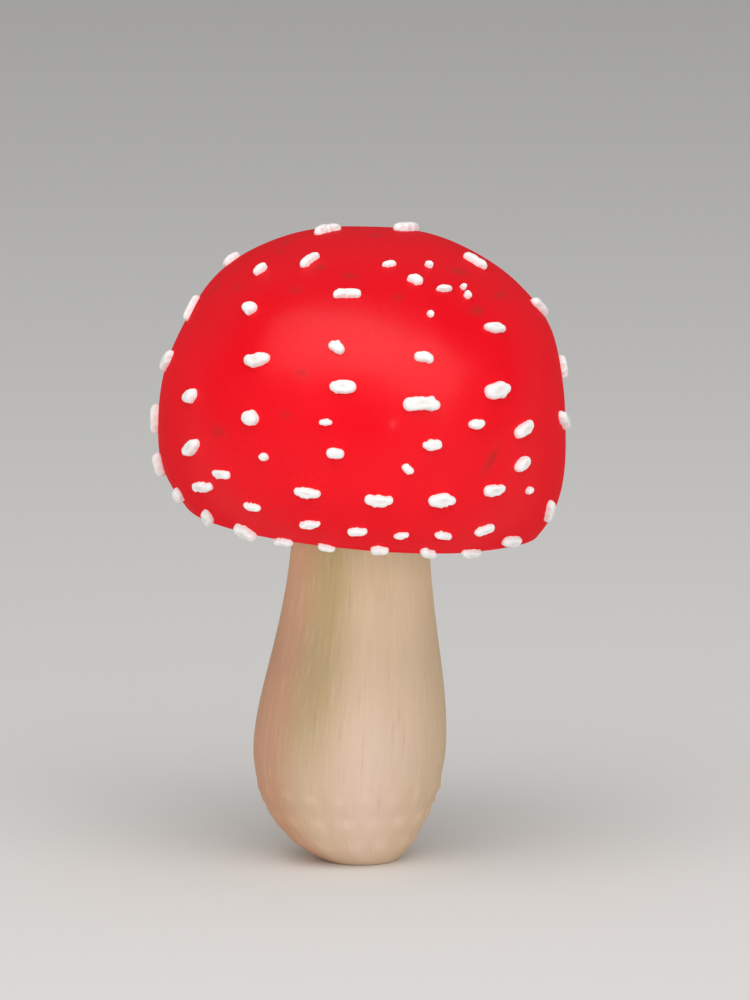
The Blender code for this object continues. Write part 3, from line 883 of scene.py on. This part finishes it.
class AGARIC_OT_gills(bpy.types.Operator):
    """Grow the gills: crowded thin blades, full and short ones by turns, under a thin layer of flesh"""

    bl_idname = "agaric.gills"
    bl_label = "Gills"

    gap = 0.05 * MM
    bed = 1.4 * MM
    edge_rise = 11.0 * MM
    belly = 0.8 * MM
    inner_end = 16.0 * MM
    edge_start = 1.6 * MM
    end_width = 2.4 * MM
    outer_share = 0.06
    bed_under = (0.95, 0.005, 28)
    bed_over = (0.03, 0.94, 24)
    bed_sides = 168
    # Kinds of gill: radius and rounding of the inner end, in mm. The order says how they take turns.
    kinds = ((16.4, 2.6), (25.5, 3.2), (21.2, 3.0), (27.8, 3.4))
    order = (0, 1, 0, 3, 0, 2)
    seed = 8
    sway = (0.12, 0.30)
    sway_wave = 2.6 * MM
    hang = 18.0 * MM

    def edge(self, form, radius):
        """Height of the gills' free edge: a rise towards the stem with a slight belly."""
        outer = form.rim_radius - form.sizes.margin
        share = (outer - radius) / (outer - self.inner_end)
        start = form.rim_level + self.edge_start
        return start + self.edge_rise * share - self.belly * math.sin(math.pi * share)

    def roof(self, form, radius):
        """Height of the middle of the flesh layer at this radius."""
        inset = self.gap + self.bed / 2.0
        low, high = 0.0, 1.0
        for _ in range(30):
            middle = (low + high) / 2.0
            if form.flesh(inset, middle)[0] > radius:
                low = middle
            else:
                high = middle
        return form.flesh(inset, low)[1]

    def blade(self, form, inner, clipped):
        """One flat blade from the margin in to this radius, before it is given its thickness."""
        deselect()
        bpy.ops.mesh.primitive_grid_add(x_subdivisions=13, y_subdivisions=3, size=2.0)
        blade = bpy.context.object
        outer = form.flesh(self.gap + self.bed / 2.0, self.outer_share)[0]
        for vertex in blade.data.vertices:
            across, up = (vertex.co.x + 1.0) / 2.0, (vertex.co.y + 1.0) / 2.0
            radius = inner + (outer - inner) * across
            lift = clipped * smooth(1.0 - (radius - inner) / self.end_width)
            foot = self.edge(form, radius) + lift
            vertex.co = (radius, 0.0, foot + (self.roof(form, radius) - foot) * up)
        return blade

    def execute(self, context):
        sizes = context.scene.agaric_gills
        form = CapForm(context.scene.agaric_cap)
        section = [form.flesh(self.gap, share) for share in spread(*self.bed_under)]
        section += [form.flesh(self.gap + self.bed, share) for share in spread(*self.bed_over)]
        bed = turned("gill_bed", section, self.bed_sides, closed=True)
        reshape(bed, form.settle)
        blades = []
        for inner, clipped in self.kinds:
            blade = self.blade(form, inner * MM, clipped * MM)
            solidify = blade.modifiers.new("Thickness", "SOLIDIFY")
            solidify.thickness = sizes.thickness
            solidify.offset = 0.0
            only(blade)
            bpy.ops.object.modifier_apply(modifier=solidify.name)
            blades.append(blade)
        draw = random.Random(self.seed)
        grown = [bed]
        total = sizes.count * 2
        for index in range(total):
            pattern = blades[self.order[index % len(self.order)]]
            gill = pattern.copy()
            gill.data = pattern.data.copy()
            gill.name = f"gill_{index:03d}"
            context.collection.objects.link(gill)
            turn = math.tau * (index + draw.uniform(-0.1, 0.1)) / total
            sway, bend = draw.uniform(*self.sway) * MM, draw.uniform(0.0, math.tau)
            for vertex in gill.data.vertices:
                x, y, z = vertex.co
                free = smooth((form.flesh_level - z) / self.hang)
                y += sway * free * math.sin(x / self.sway_wave + bend)
                place = Matrix.Rotation(turn, 3, "Z") @ Vector((x, y, z))
                vertex.co = form.settle(place)
            grown.append(gill)
        for blade in blades:
            bpy.data.objects.remove(blade, do_unlink=True)
        dress(join("gill_blades", grown), gill_finish(sizes), "gills")
        return {"FINISHED"}


class AGARIC_OT_stem(bpy.types.Operator):
    """Grow the stem: a leaning bulb with low scales, and a fibrous neck"""

    bl_idname = "agaric.stem"
    bl_label = "Stem"

    bulb_top = 22.0 * MM
    bulb_rings = 64
    neck_rings = 84
    sides = 256
    end_ring = 0.6
    scales_top = 19.0 * MM

    def execute(self, context):
        sizes = context.scene.agaric_stem
        form = StemForm(sizes)
        top = STEM_TOP
        levels = spread(0.0, self.bulb_top, self.bulb_rings)[:-1]
        levels += spread(self.bulb_top, top, self.neck_rings)
        section = [(0.0, top), (form.radius(top) * self.end_ring, top)]
        section += [(form.radius(z), z) for z in reversed(levels)]
        section += [(form.radius(0.0) * self.end_ring, 0.0), (0.0, 0.0)]
        stem = turned("stem_flesh", section, self.sides)
        paint(stem, "crease", lambda place: self.crease(form, place))
        reshape(stem, lambda place: self.grow(form, place))
        dress(stem, stem_finish(sizes, form), "stem")
        return {"FINISHED"}

    def grow(self, form, place):
        x, y, z = place
        radius = math.hypot(x, y)
        grown = 1.0
        if radius > 0.5 * MM:
            turn = math.atan2(x, -y)
            sides = (x / radius, y / radius)
            rib = even_noise((sides[0] * 3.2, sides[1] * 3.2, z * 22.0), 1.0, 3.0) * 0.20 * MM
            fine = even_noise((sides[0] * 11.0, sides[1] * 11.0, z * 60.0), 1.0, 6.0) * 0.06 * MM
            low = smooth(z / (2.5 * MM))
            raised = form.scale(turn, z) + form.scallop(turn, z) + rib + fine
            grown += raised * low * smooth((radius - 4.0 * MM) / (5.0 * MM)) / radius
        return Vector((x * grown + form.lean(z), y * grown, z))

    def crease(self, form, place):
        """Painted shade, strongest in the hollows between the bulb's scales."""
        x, y, z = place
        if z > self.scales_top or z <= 0.0:
            return 0.0
        edge = smooth(z / (3.0 * MM)) * smooth((self.scales_top - z) / (4.0 * MM))
        return edge * (1.0 - form.scale(math.atan2(x, -y), z) / form.sizes.scale_height) ** 2


class AGARIC_OT_ring(bpy.types.Operator):
    """Grow the ring: a short pleated skirt with a ragged hem, high on the stem"""

    bl_idname = "agaric.ring"
    bl_label = "Ring"

    skirt = ((12.4, 80.4), (14.6, 79.3), (16.9, 76.9), (18.6, 73.9), (19.4, 71.6))
    pleats = 9
    wave = 0.6 * MM
    thickness = 0.55 * MM
    steps = 22
    sides = 240

    def along(self, share):
        """A point of the skirt, from its root at 0 to its hem at 1."""
        place = share * (len(self.skirt) - 1)
        index = min(int(place), len(self.skirt) - 2)
        (r0, z0), (r1, z1) = self.skirt[index], self.skirt[index + 1]
        return r0 + (r1 - r0) * (place - index), z0 + (z1 - z0) * (place - index)

    def execute(self, context):
        sizes = context.scene.agaric_stem
        outer = [self.along(share) for share in spread(0.0, 1.0, self.steps)]
        outer = [((r - 0.25) * MM, (z - 0.1) * MM) for r, z in outer]
        inner = [(r - self.thickness * 0.9, z - self.thickness * 0.4) for r, z in reversed(outer)]
        ring = turned("ring_skirt", outer + inner, self.sides, closed=True)
        reshape(ring, self.pleat)
        dress(ring, ring_finish(sizes), "stem")
        return {"FINISHED"}

    def pleat(self, place):
        x, y, z = place
        radius = math.hypot(x, y)
        turn = math.atan2(x, -y)
        top, bottom = self.skirt[0][1] * MM, self.skirt[-1][1] * MM
        low = smooth((top - z) / (top - bottom))
        wave = self.wave * low * math.sin(self.pleats * turn)
        fine = 0.12 * MM * low * math.sin(66.0 * turn + 2.0 * math.sin(3.0 * turn))
        tear = 0.5 + 0.5 * even_noise((x / radius * 9.0, y / radius * 9.0, 0.0), 1.0, 4.0)
        ragged = 0.9 * MM * low**3 * tear
        grown = 1.0 + (wave + fine) / radius
        return Vector((x * grown, y * grown, z + 0.5 * wave + ragged))


class AGARIC_OT_stage(bpy.types.Operator):
    """Set the stage: a plain pale floor, soft lights and the camera"""

    bl_idname = "agaric.stage"
    bl_label = "Stage"

    # Each light: where it stands (round from the front, above level, in degrees), its distance and sides in
    # metres, its watts, its roll in degrees, and whether it only shines in what is glossy or only lights.
    lights = (
        ("Key light", 4.0, 48.0, 1.10, (1.80, 1.20), 8.5, -24.0, False),
        ("Window", 5.0, 49.0, 1.10, (3.40, 0.80), 20.0, -20.0, True),
        ("Left low light", -52.0, 8.0, 2.00, (3.20, 1.00), 10.6, 0.0, False),
        ("Right low light", 50.0, 8.0, 2.00, (3.20, 1.00), 8.6, 0.0, False),
        ("Top light", 0.0, 80.0, 2.20, (2.50, 2.50), 11.0, 0.0, False),
    )
    lit_middle = 70.0 * MM
    sky = 0.30
    sky_in_gloss = 0.08
    camera_target = (2.8 * MM, 0.0, 73.1 * MM)
    sensor = 36.0
    far_clip = 50.0

    def execute(self, context):
        sizes = context.scene.agaric_stage
        middle = Vector((0.0, 0.0, self.lit_middle))
        deselect()
        bpy.ops.mesh.primitive_plane_add(size=sizes.floor_size)
        floor = bpy.context.object
        floor.name = floor.data.name = "floor"
        finish = Finish("Floor", Roughness=0.9, Specular_IOR_Level=0.1)
        finish.feed(Base_Color=tuple(sizes.floor_colour))
        floor.data.materials.append(finish.material)
        floor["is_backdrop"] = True
        for name, around, above, distance, (wide, high), watts, roll, glossy in self.lights:
            light = self.add_light(name, middle, around, above, distance, wide, high, watts, roll)
            light.visible_glossy = glossy
            light.visible_diffuse = not glossy
        context.scene.world = self.new_world()
        context.scene.view_settings.view_transform = "Standard"
        self.add_camera(context, sizes)
        return {"FINISHED"}

    def new_world(self):
        """A plain white sky, dimmer where it is reflected."""
        world = bpy.data.worlds.new("Studio")
        world.use_nodes = True
        tree = world.node_tree
        background = tree.nodes["Background"]
        background.inputs["Color"].default_value = (1.0, 1.0, 1.0, 1.0)
        dimmed = tree.nodes.new("ShaderNodeMath")
        dimmed.operation = "MULTIPLY_ADD"
        dimmed.inputs[1].default_value = self.sky_in_gloss - self.sky
        dimmed.inputs[2].default_value = self.sky
        path = tree.nodes.new("ShaderNodeLightPath")
        tree.links.new(path.outputs["Is Glossy Ray"], dimmed.inputs[0])
        tree.links.new(dimmed.outputs[0], background.inputs["Strength"])
        return world

    def add_light(self, name, middle, around, above, distance, wide, high, watts, roll):
        around, above = math.radians(around), math.radians(above)
        level = math.cos(above)
        towards = Vector((math.sin(around) * level, -math.cos(around) * level, math.sin(above)))
        bpy.ops.object.light_add(type="AREA", location=middle + towards * distance)
        light = bpy.context.object
        light.name = light.data.name = name
        light.data.shape = "RECTANGLE"
        light.data.size = wide
        light.data.size_y = high
        light.data.energy = watts
        aim = towards.to_track_quat("Z", "Y")
        light.rotation_euler = (aim.to_matrix() @ Matrix.Rotation(math.radians(roll), 3, "Z")).to_euler()
        return light

    def add_camera(self, context, sizes):
        target = Vector(self.camera_target)
        back = Vector((0.0, -math.cos(sizes.elevation), math.sin(sizes.elevation)))
        bpy.ops.object.camera_add(location=target + back * sizes.distance)
        camera = bpy.context.object
        camera.name = camera.data.name = "Front camera"
        camera.rotation_euler = (math.pi / 2.0 - sizes.elevation, 0.0, 0.0)
        camera.data.sensor_width = self.sensor
        camera.data.lens = self.sensor * sizes.distance / sizes.tall
        camera.data.clip_end = self.far_clip
        context.scene.camera = camera


OPERATORS = (AGARIC_OT_cap, AGARIC_OT_warts, AGARIC_OT_gills, AGARIC_OT_stem, AGARIC_OT_ring, AGARIC_OT_stage)
SETTINGS = (
    ("agaric_cap", CapSizes),
    ("agaric_warts", WartSizes),
    ("agaric_gills", GillSizes),
    ("agaric_stem", StemSizes),
    ("agaric_stage", StageSizes),
)


class VIEW3D_PT_agaric(bpy.types.Panel):
    """Grows each part of the mushroom"""

    bl_idname = "VIEW3D_PT_agaric"
    bl_label = "Fly agaric"
    bl_space_type = "VIEW_3D"
    bl_region_type = "UI"
    bl_category = "Fly agaric"

    def draw(self, context):
        for operator in OPERATORS:
            self.layout.operator(operator.bl_idname)
        for name, group in SETTINGS:
            box = self.layout.box()
            settings = getattr(context.scene, name)
            for field in group.__annotations__:
                box.prop(settings, field)


def register():
    for name, group in SETTINGS:
        bpy.utils.register_class(group)
        setattr(bpy.types.Scene, name, PointerProperty(type=group))
    for cls in (*OPERATORS, VIEW3D_PT_agaric):
        bpy.utils.register_class(cls)


def unregister():
    for cls in reversed((*OPERATORS, VIEW3D_PT_agaric)):
        bpy.utils.unregister_class(cls)
    for name, group in reversed(SETTINGS):
        delattr(bpy.types.Scene, name)
        bpy.utils.unregister_class(group)


def main():
    register()
    bpy.ops.agaric.cap()
    bpy.ops.agaric.warts()
    bpy.ops.agaric.gills()
    bpy.ops.agaric.stem()
    bpy.ops.agaric.ring()
    bpy.ops.agaric.stage()
    boxes = {"cad": PACKED_BOX, "visual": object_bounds()}
    boxes = {name: [[float(number) for number in corner] for corner in box] for name, box in boxes.items()}


if __name__ == "__main__":
    main()
